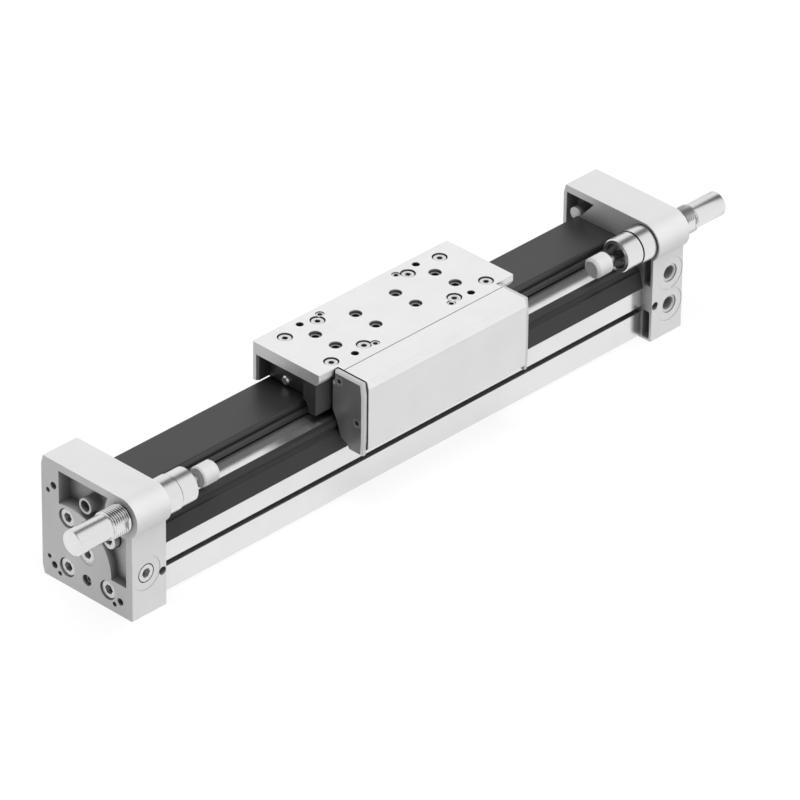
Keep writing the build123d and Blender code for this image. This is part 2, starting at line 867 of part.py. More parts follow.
# Piston: two heads with ring grooves, a saddle in the middle for the driver yoke,
# and a notch along the top that the inner band runs through
piston_half = piston_length / 2
piston_radius = bore_radius - piston_fit
waist_radius = piston_waist_diameter / 2
seal_radius = piston_radius - ring_depth
wear_radius = piston_radius - wear_ring_depth
head_start = piston_half - piston_head_length
cushion_bore = spigot_diameter / 2 + cushion_bore_clearance
seal_start = piston_half - seal_inset - ring_width
wear_start = piston_half - wear_ring_inset - wear_ring_width


def piston_end(direction):
    """Points (x, radius) of one end of the piston, from the saddle outwards."""
    points = [
        (saddle_length / 2, piston_radius),
        (saddle_length / 2, waist_radius),
        (head_start, waist_radius),
        (head_start, piston_radius),
        (wear_start, piston_radius),
        (wear_start, wear_radius),
        (wear_start + wear_ring_width, wear_radius),
        (wear_start + wear_ring_width, piston_radius),
        (seal_start, piston_radius),
        (seal_start, seal_radius),
        (seal_start + ring_width, seal_radius),
        (seal_start + ring_width, piston_radius),
        (piston_half - piston_chamfer, piston_radius),
        (piston_half, piston_radius - piston_chamfer),
        (piston_half, cushion_bore),
        (piston_half - cushion_bore_depth, cushion_bore),
        (piston_half - cushion_bore_depth, 0),
    ]
    return [(carriage_offset + direction * x, radius) for x, radius in points]


with BuildPart() as piston:
    turn(piston_end(-1)[::-1] + piston_end(1), 0, bore_axis)
    with BuildSketch(across(carriage_offset)):
        with Locations((0, notch_floor + bore_radius)):
            Rectangle(notch_width, 2 * bore_radius)
    extrude(amount=piston_half, both=True, mode=Mode.SUBTRACT)
    saddle_floor = inner_band_base + band_thickness + band_gap
    with BuildSketch(across(carriage_offset)):
        with Locations((0, saddle_floor + bore_radius)):
            Rectangle(bore_diameter, 2 * bore_radius)
    extrude(amount=yoke_length / 2 + yoke_end_fit, both=True, mode=Mode.SUBTRACT)
piston.part.label = "piston"
export_step(piston.part, "parts/piston.step")

ring_outside = bore_radius - seal_fit
ring_set = [
    ("piston_seal_left", -seal_start - ring_width, ring_width, seal_radius, ring_outside),
    ("piston_seal_right", seal_start, ring_width, seal_radius, ring_outside),
    ("wear_ring_left", -wear_start - wear_ring_width, wear_ring_width, wear_radius, ring_outside),
    ("wear_ring_right", wear_start, wear_ring_width, wear_radius, ring_outside),
    ("magnet_ring", magnet_place, magnet_width, waist_radius, piston_radius - magnet_fit),
]
for name, start, width, inside, outside in ring_set:
    with BuildPart() as ring:
        with BuildSketch(across(carriage_offset + start)):
            with Locations((0, bore_axis)):
                Circle(outside)
                Circle(inside, mode=Mode.SUBTRACT)
            with Locations((0, notch_floor + bore_radius)):
                Rectangle(notch_width, 2 * bore_radius, mode=Mode.SUBTRACT)
        extrude(amount=width)
    ring.part.label = name
    export_step(ring.part, f"parts/{name}.step")

# Driver yoke: its foot bridges the inner band inside the bore, its neck stands in the throat,
# its window lets the outer band through, and its plate leaves through the cover's slit
bar_floor = channel_floor + yoke_gap
window_floor = bar_floor + yoke_bar
yoke_plate_floor = deck + yoke_lift
yoke_reach = pillar_front - yoke_gap
yoke_rear = channel_width / 2 - band_gap
window_width = outer_band_width + 2 * band_gap
block_back = -cover_front - body_side_gap - block_clearance
yoke_screw_y = (block_back - yoke_reach) / 2
yoke_screw_places = [(carriage_offset + i * yoke_screw_spacing / 2, yoke_screw_y) for i in (-1, 1)]
with BuildPart() as driver_yoke:
    with BuildSketch(across(carriage_offset)):
        with Locations((0, bore_axis)):
            Circle(bore_radius - yoke_foot_fit)
        with Locations((0, saddle_floor + yoke_foot / 2)):
            Rectangle(yoke_foot_width, yoke_foot, mode=Mode.INTERSECT)
        with Locations((0, (saddle_floor + window_floor) / 2)):
            Rectangle(throat_width - 2 * yoke_gap, window_floor - saddle_floor)
        with Locations((0, (bar_floor + yoke_plate_floor) / 2)):
            Rectangle(2 * yoke_rear, yoke_plate_floor - bar_floor)
        with Locations((0, (window_floor + yoke_plate_floor) / 2)):
            Rectangle(window_width, yoke_plate_floor - window_floor, mode=Mode.SUBTRACT)
        with Locations(((yoke_rear - yoke_reach) / 2, yoke_plate_floor + yoke_plate / 2)):
            Rectangle(yoke_rear + yoke_reach, yoke_plate)
        with Locations(((block_back - yoke_reach) / 2, (yoke_plate_floor + body_floor) / 2)):
            Rectangle(yoke_reach + block_back, body_floor - yoke_plate_floor)
    extrude(amount=yoke_length / 2, both=True)
    rounds(Plane.XY.offset(yoke_plate_floor), yoke_screw_places, plate_screw_diameter + yoke_screw_fit,
           body_floor - yoke_plate_floor)
    rounds(Plane.XY.offset(yoke_plate_floor), yoke_screw_places, plate_screw_head + yoke_head_fit,
           yoke_head_sunk)
driver_yoke.part.label = "driver_yoke"
export_step(driver_yoke.part, "parts/driver_yoke.step")

yoke_head_base = yoke_plate_floor + yoke_gap
with BuildPart() as yoke_screws:
    rounds(Plane.XY.offset(yoke_head_base), yoke_screw_places, plate_screw_head, yoke_head_sunk - yoke_gap,
           Mode.ADD)
    rounds(Plane.XY.offset(yoke_head_base), yoke_screw_places, plate_screw_diameter,
           body_floor + plate_screw_grip - yoke_head_base, Mode.ADD)
yoke_screws.part.label = "yoke_screws"
export_step(yoke_screws.part, "parts/yoke_screws.step")

# Slide plate with a rear leg; its middle is wider than its ends
plate_screw_places = [
    place
    for half_span in (plate_screw_outer, plate_screw_inner)
    for place in four_about(carriage_offset, plate_screw_y, 2 * half_span, plate_screw_spacing_y)
]
thread_places = [
    place
    for half_span in (thread_outer, thread_inner)
    for place in four_about(carriage_offset, plate_pattern_y, 2 * half_span, thread_spacing_y)
]
dowel_places = four_about(carriage_offset, plate_pattern_y, 2 * dowel_place, dowel_spacing_y)
set_screw_places = four_about(carriage_offset, plate_pattern_y, 2 * set_screw_place, set_screw_spacing_y)
with BuildPart() as slide_plate:
    with BuildSketch(across(carriage_offset)):
        with BuildLine():
            Polyline(
                (plate_rear, plate_bottom - leg_drop),
                (plate_rear, plate_top),
                (-plate_front, plate_top),
                (-plate_front, plate_bottom + plate_end_chamfer),
                (-plate_front + plate_end_undercut, plate_bottom),
                (plate_rear - leg_thickness, plate_bottom),
                (plate_rear - leg_thickness, plate_bottom - leg_drop),
                close=True,
            )
        make_face()
    extrude(amount=plate_length / 2, both=True)
    plate_edges = slide_plate.edges().filter_by(Axis.Z).group_by(Axis.X)
    fillet(plate_edges[0] + plate_edges[-1], plate_corner_round)
    with BuildSketch(across(carriage_offset)):
        with Locations((-(plate_wide_front + pillar_front) / 2, (plate_bottom + plate_top) / 2)):
            Rectangle(plate_wide_front - pillar_front, plate_thickness)
    extrude(amount=side_length / 2, both=True)

    top_face = Plane.XY.offset(plate_top)
    rounds(top_face, plate_screw_places, plate_screw_diameter + plate_screw_clearance, -plate_thickness)
    rounds(top_face, thread_places, thread_core, -plate_thickness)
    rounds(top_face, dowel_places, dowel_diameter, -plate_thickness)
    rounds(top_face, plate_screw_places, plate_counterbore, -plate_counterbore_depth)
    rounds(top_face, thread_places, centring_diameter, -centring_depth)
    rounds(top_face, set_screw_places, set_screw_diameter, -set_screw_depth)
    for side in (-1, 1):
        plate_end = across(carriage_offset + side * side_length / 2)
        rounds(plate_end, end_screw_places[:1], end_screw_diameter + 2 * thread_fit, -side * end_screw_length)
slide_plate.part.label = "slide_plate"
export_step(slide_plate.part, "parts/slide_plate.step")

head_top = plate_top - plate_counterbore_depth + plate_screw_head_height
with BuildPart() as plate_screws:
    head_plane = Plane.XY.offset(head_top)
    rounds(head_plane, plate_screw_places, plate_screw_head, -plate_screw_head_height, Mode.ADD)
    rounds(head_plane, plate_screw_places, plate_screw_diameter, plate_bottom - plate_screw_grip - head_top,
           Mode.ADD)
    hexagons(head_plane, plate_screw_places, plate_screw_hex, -plate_screw_hex_depth)
plate_screws.part.label = "plate_screws"
export_step(plate_screws.part, "parts/plate_screws.step")

with BuildPart() as set_screws:
    sunk_plane = Plane.XY.offset(plate_top - set_screw_sunk)
    set_screw_length = set_screw_depth - set_screw_sunk
    rounds(sunk_plane, set_screw_places, set_screw_diameter - set_screw_fit, -set_screw_length, Mode.ADD)
    hexagons(sunk_plane, set_screw_places, set_screw_hex, -set_screw_length)
set_screws.part.label = "set_screws"
export_step(set_screws.part, "parts/set_screws.step")

# Carriage body: a block over the cover, and a guide side that hangs in front of the rail
with BuildPart() as carriage_body:
    with BuildSketch(across(carriage_offset)):
        with BuildLine():
            Polyline(
                (body_rear, plate_bottom),
                (body_rear, cover_top + cover_gap),
                (-cover_front - body_side_gap, cover_top + cover_gap),
                (-cover_front - body_side_gap, body_floor),
                (-pillar_front, body_floor),
                (-pillar_front, plate_bottom),
                close=True,
            )
        make_face()
    extrude(amount=body_length / 2, both=True)
    with BuildSketch(across(carriage_offset)):
        with BuildLine():
            Polyline(
                (-pillar_front, plate_bottom),
                (-pillar_front, body_floor),
                (-pillar_front - body_front_step, body_floor),
                (rail_face_y(deck) - guide_gap_top, deck + guide_lift),
                (rail_face_y(guide_foot) - guide_gap_foot, guide_foot),
                (-barrel_front - guide_toe, guide_foot - guide_lift),
                (-side_inner, guide_foot - guide_lift),
                (-side_inner, side_top),
                (-side_back - side_gap, side_top),
                (-side_back - side_gap, plate_bottom),
                close=True,
            )
        make_face()
        with Locations((ball_y, ball_z)):
            Circle(ball_diameter / 2 + ball_clearance, mode=Mode.SUBTRACT)
    extrude(amount=side_length / 2, both=True)
    rounds(Plane.XY.offset(plate_bottom), plate_screw_places, plate_screw_diameter + 2 * thread_fit,
           -plate_screw_grip)
    rounds(Plane.XY.offset(body_floor), yoke_screw_places, plate_screw_diameter + 2 * thread_fit,
           plate_screw_grip)
    for side in (-1, 1):
        body_face = across(carriage_offset + side * side_length / 2)
        rounds(body_face, end_screw_places, end_screw_diameter + 2 * thread_fit, -side * end_screw_length)
carriage_body.part.label = "carriage_body"
export_step(carriage_body.part, "parts/carriage_body.step")

with BuildPart() as side_cover:
    with BuildSketch(across(carriage_offset)):
        with BuildLine():
            Polyline(
                (-side_back, side_top),
                (-side_back, plate_top),
                (-side_front + side_lean, plate_top),
                (-side_front, plate_top - side_chamfer),
                (-side_front, side_bottom + side_foot_chamfer),
                (-side_front + side_foot_chamfer, side_bottom),
                (-side_inner + side_foot_width, side_bottom),
                (-side_inner + side_foot_width, guide_foot - guide_lift),
                (-side_inner, guide_foot - guide_lift),
                (-side_inner, side_top),
                close=True,
            )
        make_face()
    extrude(amount=side_length / 2, both=True)
side_cover.part.label = "side_cover"
export_step(side_cover.part, "parts/side_cover.step")

# End plate outline, from its top rear corner round the front and back along the guide rail
end_plate_outline = [
    (-plate_front - 0.4, plate_top - end_plate_gap),
    (-side_front + 1.9, plate_top - end_plate_gap),
    (-side_front + 0.8, plate_top - 8),
    (-side_front + 0.8, side_bottom + 6),
    (-side_front + 1.4, side_bottom - 2.7),
    (-side_front + 11.4, side_bottom - 2.7),
    (-side_front + 12.4, side_bottom - 0.2),
    (-barrel_front - 2.9, side_bottom + 1.1),
    (-barrel_front - 0.4, side_bottom + 1.6),
    (rail_face_y(deck) - 0.4, deck + 0.9),
    (-pillar_front - 1.5, body_floor + 0.4),
    (-pillar_front - 1.5, plate_bottom - 0.5),
    (-plate_front - 0.4, plate_bottom - 0.5),
]
for side, name in ((-1, "left"), (1, "right")):
    side_end = carriage_offset + side * side_length / 2
    plate_face = across(side_end + side * end_plate_thickness)
    with BuildPart() as end_plate:
        with BuildSketch(across(side_end)):
            with BuildLine():
                Polyline(*end_plate_outline, close=True)
            make_face()
            offset(amount=-end_plate_gap, kind=Kind.INTERSECTION, mode=Mode.REPLACE)
        extrude(amount=side * end_plate_gap)
        with BuildSketch(across(side_end + side * end_plate_gap)):
            with BuildLine():
                Polyline(*end_plate_outline, close=True)
            make_face()
        extrude(amount=side * (end_plate_thickness - end_plate_gap))
        face_edges = end_plate.faces().filter_by(Axis.X).sort_by(Axis.X)[-1 if side > 0 else 0].edges()
        chamfer(face_edges, end_plate_bevel)
        rounds(across(side_end), end_screw_places, end_screw_diameter + end_screw_clearance,
               side * end_plate_thickness)
        rounds(plate_face, end_screw_places, end_screw_head + end_screw_head_fit, -side * end_screw_head_height)
    end_plate.part.label = f"end_plate_{name}"
    export_step(end_plate.part, f"parts/end_plate_{name}.step")

    end_screw_reach = end_plate_thickness + end_screw_length - end_plate_gap
    with BuildPart() as end_plate_screws:
        rounds(plate_face, end_screw_places, end_screw_head, -side * end_screw_head_height, Mode.ADD)
        rounds(plate_face, end_screw_places, end_screw_diameter, -side * end_screw_reach, Mode.ADD)
        hexagons(plate_face, end_screw_places, end_screw_hex, -side * end_screw_hex_depth)
    end_plate_screws.part.label = f"end_plate_screws_{name}"
    export_step(end_plate_screws.part, f"parts/end_plate_screws_{name}.step")

    body_end = carriage_offset + side * body_length / 2
    block_base = cover_top + block_clearance
    pillar_foot = cover_top - pillar_drop
    liner_outer = plate_rear - leg_thickness - liner_gap
    nipple_place = [(nipple_y, cover_top + nipple_rise)]
    with BuildPart() as end_block:
        with BuildSketch(across(body_end)):
            with Locations(((liner_outer - pillar_back) / 2, (plate_bottom + block_base) / 2)):
                Rectangle(liner_outer + pillar_back, plate_bottom - block_base)
        extrude(amount=side * end_block_thickness)
        with BuildSketch(across(body_end)):
            with Locations((-(pillar_front + pillar_back) / 2, (plate_bottom + pillar_foot) / 2)):
                Rectangle(pillar_front - pillar_back, plate_bottom - pillar_foot)
            with Locations((-cover_front + pillar_arc_inset, cover_top - pillar_arc_drop)):
                Circle(pillar_arc, mode=Mode.SUBTRACT)
            with Locations((liner_outer - liner_thickness / 2, (plate_bottom + block_base) / 2)):
                Rectangle(liner_thickness, plate_bottom - block_base)
        extrude(amount=side * end_block_length)
        with BuildSketch(across(body_end)):
            with Locations(((cover_rear - wiper_front) / 2, block_base + wiper_height / 2)):
                Rectangle(cover_rear + wiper_front, wiper_height)
        extrude(amount=side * wiper_thickness, mode=Mode.SUBTRACT)
        rounds(across(body_end), nipple_place, nipple_shank + nipple_fit, side * end_block_thickness)
    end_block.part.label = f"end_block_{name}"
    export_step(end_block.part, f"parts/end_block_{name}.step")

    wiper_base = cover_top + wiper_gap
    wiper_top = block_base + wiper_height
    with BuildPart() as wiper:
        with BuildSketch(across(body_end)):
            with Locations(((cover_rear - wiper_front) / 2, (wiper_base + wiper_top) / 2)):
                Rectangle(cover_rear + wiper_front, wiper_top - wiper_base)
            with Locations(*nipple_place):
                Circle((nipple_shank + nipple_wiper_gap) / 2, mode=Mode.SUBTRACT)
        extrude(amount=side * wiper_thickness)
    wiper.part.label = f"wiper_{name}"
    export_step(wiper.part, f"parts/wiper_{name}.step")

    block_face = body_end + side * end_block_thickness
    nipple_head_end = block_face + side * nipple_head_height
    nipple_tip_end = nipple_head_end + side * nipple_tip_height
    with BuildPart() as grease_nipple:
        turn(
            [
                (body_end, 0),
                (body_end, nipple_shank / 2),
                (block_face, nipple_shank / 2),
                (block_face, nipple_diameter / 2),
                (nipple_head_end, nipple_diameter / 2),
                (nipple_tip_end, nipple_diameter / 2 - nipple_tip_taper),
                (nipple_tip_end, 0),
            ],
            nipple_y,
            cover_top + nipple_rise,
        )
    grease_nipple.part.label = f"grease_nipple_{name}"
    export_step(grease_nipple.part, f"parts/grease_nipple_{name}.step")

# Guide balls in their cages, two groups near the carriage's ends
lean_y = rail_face_y(0) - rail_face_y(1)
face_normal = Vector(0, -1, -lean_y).normalized()
ball_run = (ball_count - 1) * ball_pitch
ball_place = side_length / 2 - ball_run / 2 - ball_end_margin
with BuildPart() as guide_balls:
    for group in (-1, 1):
        with Locations((carriage_offset + group * ball_place, ball_y, ball_z)):
            with GridLocations(ball_pitch, 1, ball_count, 1):
                Sphere(ball_diameter / 2)
guide_balls.part.label = "guide_balls"
export_step(guide_balls.part, "parts/guide_balls.step")

with BuildPart() as ball_cages:
    for group in (-1, 1):
        cage_plane = Plane(
            origin=(carriage_offset + group * ball_place, ball_y, ball_z),
            x_dir=(1, 0, 0),
            z_dir=face_normal,
        )
        with BuildSketch(cage_plane):
            Rectangle(ball_run + 2 * cage_margin, cage_height)
            with GridLocations(ball_pitch, 1, ball_count, 1):
                Circle(ball_diameter / 2 + ball_clearance, mode=Mode.SUBTRACT)
        extrude(amount=cage_thickness / 2, both=True)
ball_cages.part.label = "ball_cages"
export_step(ball_cages.part, "parts/ball_cages.step")
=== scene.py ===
"""The looks of a rodless pneumatic cylinder with a guided carriage, in metres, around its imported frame.

X runs along the barrel, -Y is the side with the shock absorbers and Z = 0 is the underside."""

import math

import bpy
import numpy as np
from mathutils import Matrix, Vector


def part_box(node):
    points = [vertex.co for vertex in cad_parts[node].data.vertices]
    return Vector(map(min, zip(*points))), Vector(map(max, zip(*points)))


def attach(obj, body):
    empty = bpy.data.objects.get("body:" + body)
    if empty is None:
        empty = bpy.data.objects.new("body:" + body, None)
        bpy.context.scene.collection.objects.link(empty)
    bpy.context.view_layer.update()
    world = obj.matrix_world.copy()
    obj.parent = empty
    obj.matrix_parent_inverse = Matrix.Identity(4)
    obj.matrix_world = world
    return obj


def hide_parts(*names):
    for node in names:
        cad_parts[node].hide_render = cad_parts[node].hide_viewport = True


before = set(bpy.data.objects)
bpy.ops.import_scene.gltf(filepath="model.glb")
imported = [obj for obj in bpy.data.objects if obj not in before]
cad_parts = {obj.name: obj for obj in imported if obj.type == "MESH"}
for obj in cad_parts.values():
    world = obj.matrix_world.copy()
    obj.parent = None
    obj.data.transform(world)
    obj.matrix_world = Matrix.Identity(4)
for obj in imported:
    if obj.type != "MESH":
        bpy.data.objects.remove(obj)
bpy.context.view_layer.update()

MM = 0.001
BACKGROUND_WHITE = 1.0

# Camera: its place, the way that it looks and its lens, fitted to the photograph's frame of 800 x 800
CAMERA_PLACE = (-2.3929585, -2.3298793, 2.1098465)
CAMERA_AZIMUTH = 46.02999
CAMERA_ELEVATION = 31.92870
CAMERA_ROLL = -0.712812
SENSOR_WIDTH = 36.0
FOCAL_PIXELS = 7439.5465
PHOTO_WIDTH = 800.0
CLIP_START = 0.1
CLIP_END = 60.0

# Shock absorber, as the CAD solid has it
THREAD_PITCH = 1.5 * MM
THREAD_DEPTH = 0.85 * MM
THREAD_RADIUS = 8.0 * MM
PLAIN_RADIUS = 7.15 * MM
THREAD_OUT = 12.6 * MM
FLAT_HALF_WIDTH = 6.9 * MM
FLAT_INSET = 1.5 * MM
FLAT_LENGTH = 9.0 * MM
GLAND_DEPTH = 2.5 * MM
ROD_HOLE_RADIUS = 2.05 * MM
SHOCK_BORE_RADIUS = 4.3 * MM
SHOCK_BORE_WALL = 6.0 * MM

# How its thread runs in and out, its rounded end, and the shape of one turn of a thread
THREAD_INTO_CAP = 2.0 * MM
THREAD_LEAD_IN = 0.8 * MM
THREAD_FADE = 2.0
SHOULDER_STEP = 0.1 * MM
SHOULDER_GAP = 0.02 * MM
END_EDGE = 0.6 * MM
EDGE_BOW_ALONG = 0.4
EDGE_BOW_IN = 0.3
FLANK_STEEPNESS = 3.2
CREST_SHARE = 0.3

# Ports of the right end cap
PORT_THREAD_PITCH = 0.907 * MM
PORT_RADIUS = 4.39 * MM
PORT_THREAD_DEPTH = 0.4 * MM
PORT_INSET = 10.0 * MM
CAP_FRONT = -33.4 * MM
PORT_THREAD_START = 1.0 * MM
PORT_THREAD_LENGTH = 6.9 * MM
PORT_THREAD_FIT = 0.05 * MM
PORT_HEIGHTS = (18.4 * MM, 38.0 * MM)

# Even light of the air, and the dark gap between the overhead lights that shows in reflections
AIR_LIGHT = 0.07
GAP_NORMAL = (0.0, 0.978, -0.21)
GAP_HALF_WIDTH = 0.24
GAP_SHADE = 0.12
GAP_SOFTNESS = 0.5

# Soft lamps: name, where each shines from, and its strength
LAMPS = (
    ("overhead", (-0.06, -0.16, 1.0), 2.55),
    ("front_side", (0.10, -1.0, 0.10), 1.74),
    ("near_end", (-0.80, 0.42, -0.42), 0.72),
    ("back_side", (0.6, 1.0, 0.3), 1.2),
)
LAMP_SPREAD = math.radians(44.0)
# An axis that no lamp shines along
LAMP_UP = (0.0, 0.31, 0.95)

# Floor
FLOOR_SIZE = 9.0
FLOOR_DROP = 0.2 * MM
FLOOR_GLOW = 0.86
FLOOR_SHADOW_SHARE = 0.16
FLOOR_BOUNCE = 0.16

# Grain, in cells per metre along each axis, and the middle of a noise
ALONG_X = (12.0, 2600.0, 2600.0)
ROUND_X = (5200.0, 60.0, 60.0)
FINE = (2400.0, 2400.0, 2400.0)
SKIN = (2600.0, 2600.0, 2600.0)
METAL_CLOUDS = (60.0, 60.0, 60.0)
SKIN_CLOUDS = (90.0, 90.0, 90.0)
GRAIN_DETAIL = 3.0
CLOUD_DETAIL = 2.0
NOISE_LOW = 0.3
NOISE_HIGH = 0.7

# Painted shade: occlusion by what stands near darkens the colour
OCCLUSION_SAMPLES = 8
OPEN_ENOUGH = 0.95

# Mouldings: dark and light share of their grey, and how far their roughness varies
MOULD_TONES = (0.93, 1.06)
MOULD_SPREAD = 0.06

# End plates: which faces count as coated, greys of the edges and the coat
COATED_FACING = 0.9
BARE_EDGE = 0.62
COAT = 0.32
END_PLATE_METALLIC = 0.35
END_PLATE_TURNED = 0.7
END_PLATE_ROUGHNESS = (0.34, 0.44)
SATIN_DEPTH = 2e-6

# Grids of the threaded pieces
SHOCK_SEGMENTS = 112
RINGS_PER_PITCH = 9
PORT_SEGMENTS = 64
PORT_RINGS_PER_PITCH = 8
AXIS_RADIUS = 1e-7
SHARP_ANGLE = math.radians(35.0)


def place_camera():
    """The camera looks along its azimuth from +Y towards +X, down by its elevation, then rolls."""
    azimuth = math.radians(CAMERA_AZIMUTH)
    elevation = math.radians(CAMERA_ELEVATION)
    roll = math.radians(CAMERA_ROLL)
    forward = np.array([math.sin(azimuth) * math.cos(elevation), math.cos(azimuth) * math.cos(elevation),
                        -math.sin(elevation)])
    level_right = np.array([math.cos(azimuth), -math.sin(azimuth), 0.0])
    level_down = np.cross(forward, level_right)
    right = math.cos(roll) * level_right + math.sin(roll) * level_down
    down = -math.sin(roll) * level_right + math.cos(roll) * level_down
    lens_data = bpy.data.cameras.new("photo_camera")
    lens_data.sensor_width = SENSOR_WIDTH
    lens_data.lens = FOCAL_PIXELS / PHOTO_WIDTH * SENSOR_WIDTH
    lens_data.clip_start = CLIP_START
    lens_data.clip_end = CLIP_END
    camera = bpy.data.objects.new("photo_camera", lens_data)
    matrix = Matrix.Identity(4)
    for row in range(3):
        matrix[row][0] = right[row]
        matrix[row][1] = -down[row]
        matrix[row][2] = -forward[row]
        matrix[row][3] = CAMERA_PLACE[row]
    camera.matrix_world = matrix
    bpy.context.scene.collection.objects.link(camera)
    bpy.context.scene.camera = camera


def maths(nodes, links, operation, *values):
    """The result of a math node, on outputs of other nodes or plain numbers."""
    node = nodes.new("ShaderNodeMath")
    node.operation = operation
    for value, socket in zip(values, node.inputs):
        if isinstance(value, float):
            socket.default_value = value
        else:
            links.new(value, socket)
    return node.outputs[0]


def map_range(nodes, links, value, start, end, low, high, smooth=False):
    """A value from start to end, spread from low to high."""
    spread = nodes.new("ShaderNodeMapRange")
    if smooth:
        spread.interpolation_type = "SMOOTHSTEP"
    for name, number in (("From Min", start), ("From Max", end), ("To Min", low), ("To Max", high)):
        spread.inputs[name].default_value = number
    links.new(value, spread.inputs["Value"])
    return spread.outputs["Result"]


def grey(level):
    """An even grey of that linear level."""
    return (level, level, level)


def plain_diffuse(nodes, level):
    """A diffuse shader of an even grey."""
    shader = nodes.new("ShaderNodeBsdfDiffuse")
    shader.inputs["Color"].default_value = (*grey(level), 1.0)
    return shader.outputs[0]


def plain_background(nodes, strength):
    """A background shader of that strength."""
    shader = nodes.new("ShaderNodeBackground")
    shader.inputs["Strength"].default_value = strength
    return shader


def seen_ray(nodes, links):
    """1 for the rays that show the background: camera, glossy and transmission rays."""
    rays = nodes.new("ShaderNodeLightPath")
    either = maths(nodes, links, "MAXIMUM", rays.outputs["Is Camera Ray"], rays.outputs["Is Glossy Ray"])
    return maths(nodes, links, "MAXIMUM", either, rays.outputs["Is Transmission Ray"]), rays


def studio_air():
    """White for the rays that are seen, with one dark gap between the overhead lights in reflections,
    and a low even light for the rest."""
    world = bpy.data.worlds.new("studio_air")
    bpy.context.scene.world = world
    world.use_nodes = True
    nodes, links = world.node_tree.nodes, world.node_tree.links
    nodes.clear()
    seen, rays = seen_ray(nodes, links)
    even = plain_background(nodes, AIR_LIGHT)
    white = plain_background(nodes, BACKGROUND_WHITE)
    direction = nodes.new("ShaderNodeTexCoord")
    off_gap = nodes.new("ShaderNodeVectorMath")
    off_gap.operation = "DOT_PRODUCT"
    off_gap.inputs[1].default_value = GAP_NORMAL
    links.new(direction.outputs["Generated"], off_gap.inputs[0])
    distance = maths(nodes, links, "ABSOLUTE", off_gap.outputs["Value"])
    gap = map_range(nodes, links, distance, GAP_HALF_WIDTH * (1 - GAP_SOFTNESS),
                    GAP_HALF_WIDTH * (1 + GAP_SOFTNESS), GAP_SHADE, BACKGROUND_WHITE, smooth=True)
    shade = maths(nodes, links, "MAXIMUM", gap, rays.outputs["Is Camera Ray"])
    links.new(shade, white.inputs["Color"])
    mix = nodes.new("ShaderNodeMixShader")
    links.new(seen, mix.inputs["Fac"])
    links.new(even.outputs[0], mix.inputs[1])
    links.new(white.outputs[0], mix.inputs[2])
    out = nodes.new("ShaderNodeOutputWorld")
    links.new(mix.outputs[0], out.inputs["Surface"])


def soft_lamps():
    """Wide suns, so that every edge of a shadow is soft."""
    for name, towards, strength in LAMPS:
        sun = bpy.data.lights.new(name, "SUN")
        sun.energy = strength
        sun.angle = LAMP_SPREAD
        lamp = bpy.data.objects.new(name, sun)
        back = np.array(towards) / np.linalg.norm(towards)
        side = np.cross(LAMP_UP, back)
        side /= np.linalg.norm(side)
        up = np.cross(back, side)
        for row in range(3):
            lamp.matrix_world[row][0] = side[row]
            lamp.matrix_world[row][1] = up[row]
            lamp.matrix_world[row][2] = back[row]
        lamp.visible_glossy = False
        bpy.context.scene.collection.objects.link(lamp)


def pale_floor():
    """A wide floor: white with a faint shadow where it is seen, pale grey for the light that it throws
    back."""
    half = FLOOR_SIZE / 2
    mesh = bpy.data.meshes.new("studio_floor")
    corners = [(-half, -half, -FLOOR_DROP), (half, -half, -FLOOR_DROP), (half, half, -FLOOR_DROP),
               (-half, half, -FLOOR_DROP)]
    mesh.from_pydata(corners, [], [(0, 1, 2, 3)])
    floor = bpy.data.objects.new("studio_floor", mesh)
    bpy.context.scene.collection.objects.link(floor)
    material = bpy.data.materials.new("floor_paper")
    material.use_nodes = True
    nodes, links = material.node_tree.nodes, material.node_tree.links
    nodes.clear()
    seen, _ = seen_ray(nodes, links)
    glow = nodes.new("ShaderNodeEmission")
    glow.inputs["Strength"].default_value = FLOOR_GLOW
    both = nodes.new("ShaderNodeAddShader")
    links.new(plain_diffuse(nodes, FLOOR_SHADOW_SHARE), both.inputs[0])
    links.new(glow.outputs[0], both.inputs[1])
    mix = nodes.new("ShaderNodeMixShader")
    links.new(seen, mix.inputs["Fac"])
    links.new(plain_diffuse(nodes, FLOOR_BOUNCE), mix.inputs[1])
    links.new(both.outputs[0], mix.inputs[2])
    out = nodes.new("ShaderNodeOutputMaterial")
    links.new(mix.outputs[0], out.inputs["Surface"])
    mesh.materials.append(material)
    floor.visible_shadow = False


def surface(name, metallic, specular=0.5):
    """A new material with its shader, the node tree and the piece's own coordinates."""
    material = bpy.data.materials.new(name)
    material.use_nodes = True
    nodes, links = material.node_tree.nodes, material.node_tree.links
    shader = nodes["Principled BSDF"]
    shader.inputs["Metallic"].default_value = metallic
    shader.inputs["Specular IOR Level"].default_value = specular
    place = nodes.new("ShaderNodeTexCoord")
    return material, nodes, links, shader, place.outputs["Object"]


def grain(nodes, links, place, scale, detail=GRAIN_DETAIL):
    """Noise from 0 to 1 on the piece's own coordinates, scaled by axis, in cells per metre."""
    stretch = nodes.new("ShaderNodeMapping")
    stretch.inputs["Scale"].default_value = scale
    links.new(place, stretch.inputs["Vector"])
    noise = nodes.new("ShaderNodeTexNoise")
    noise.inputs["Scale"].default_value = 1.0
    noise.inputs["Detail"].default_value = detail
    links.new(stretch.outputs[0], noise.inputs["Vector"])
    return noise.outputs["Fac"]


def to_range(nodes, links, value, low, high):
    """The middle of a noise, spread from low to high."""
    return map_range(nodes, links, value, NOISE_LOW, NOISE_HIGH, low, high)


def tint(nodes, links, value, dark, light):
    """A colour between two greys, chosen by a value from 0 to 1."""
    mix = nodes.new("ShaderNodeMix")
    mix.data_type = "RGBA"
    mix.inputs["A"].default_value = (*dark, 1.0)
    mix.inputs["B"].default_value = (*light, 1.0)
    links.new(value, mix.inputs["Factor"])
    return mix.outputs["Result"]


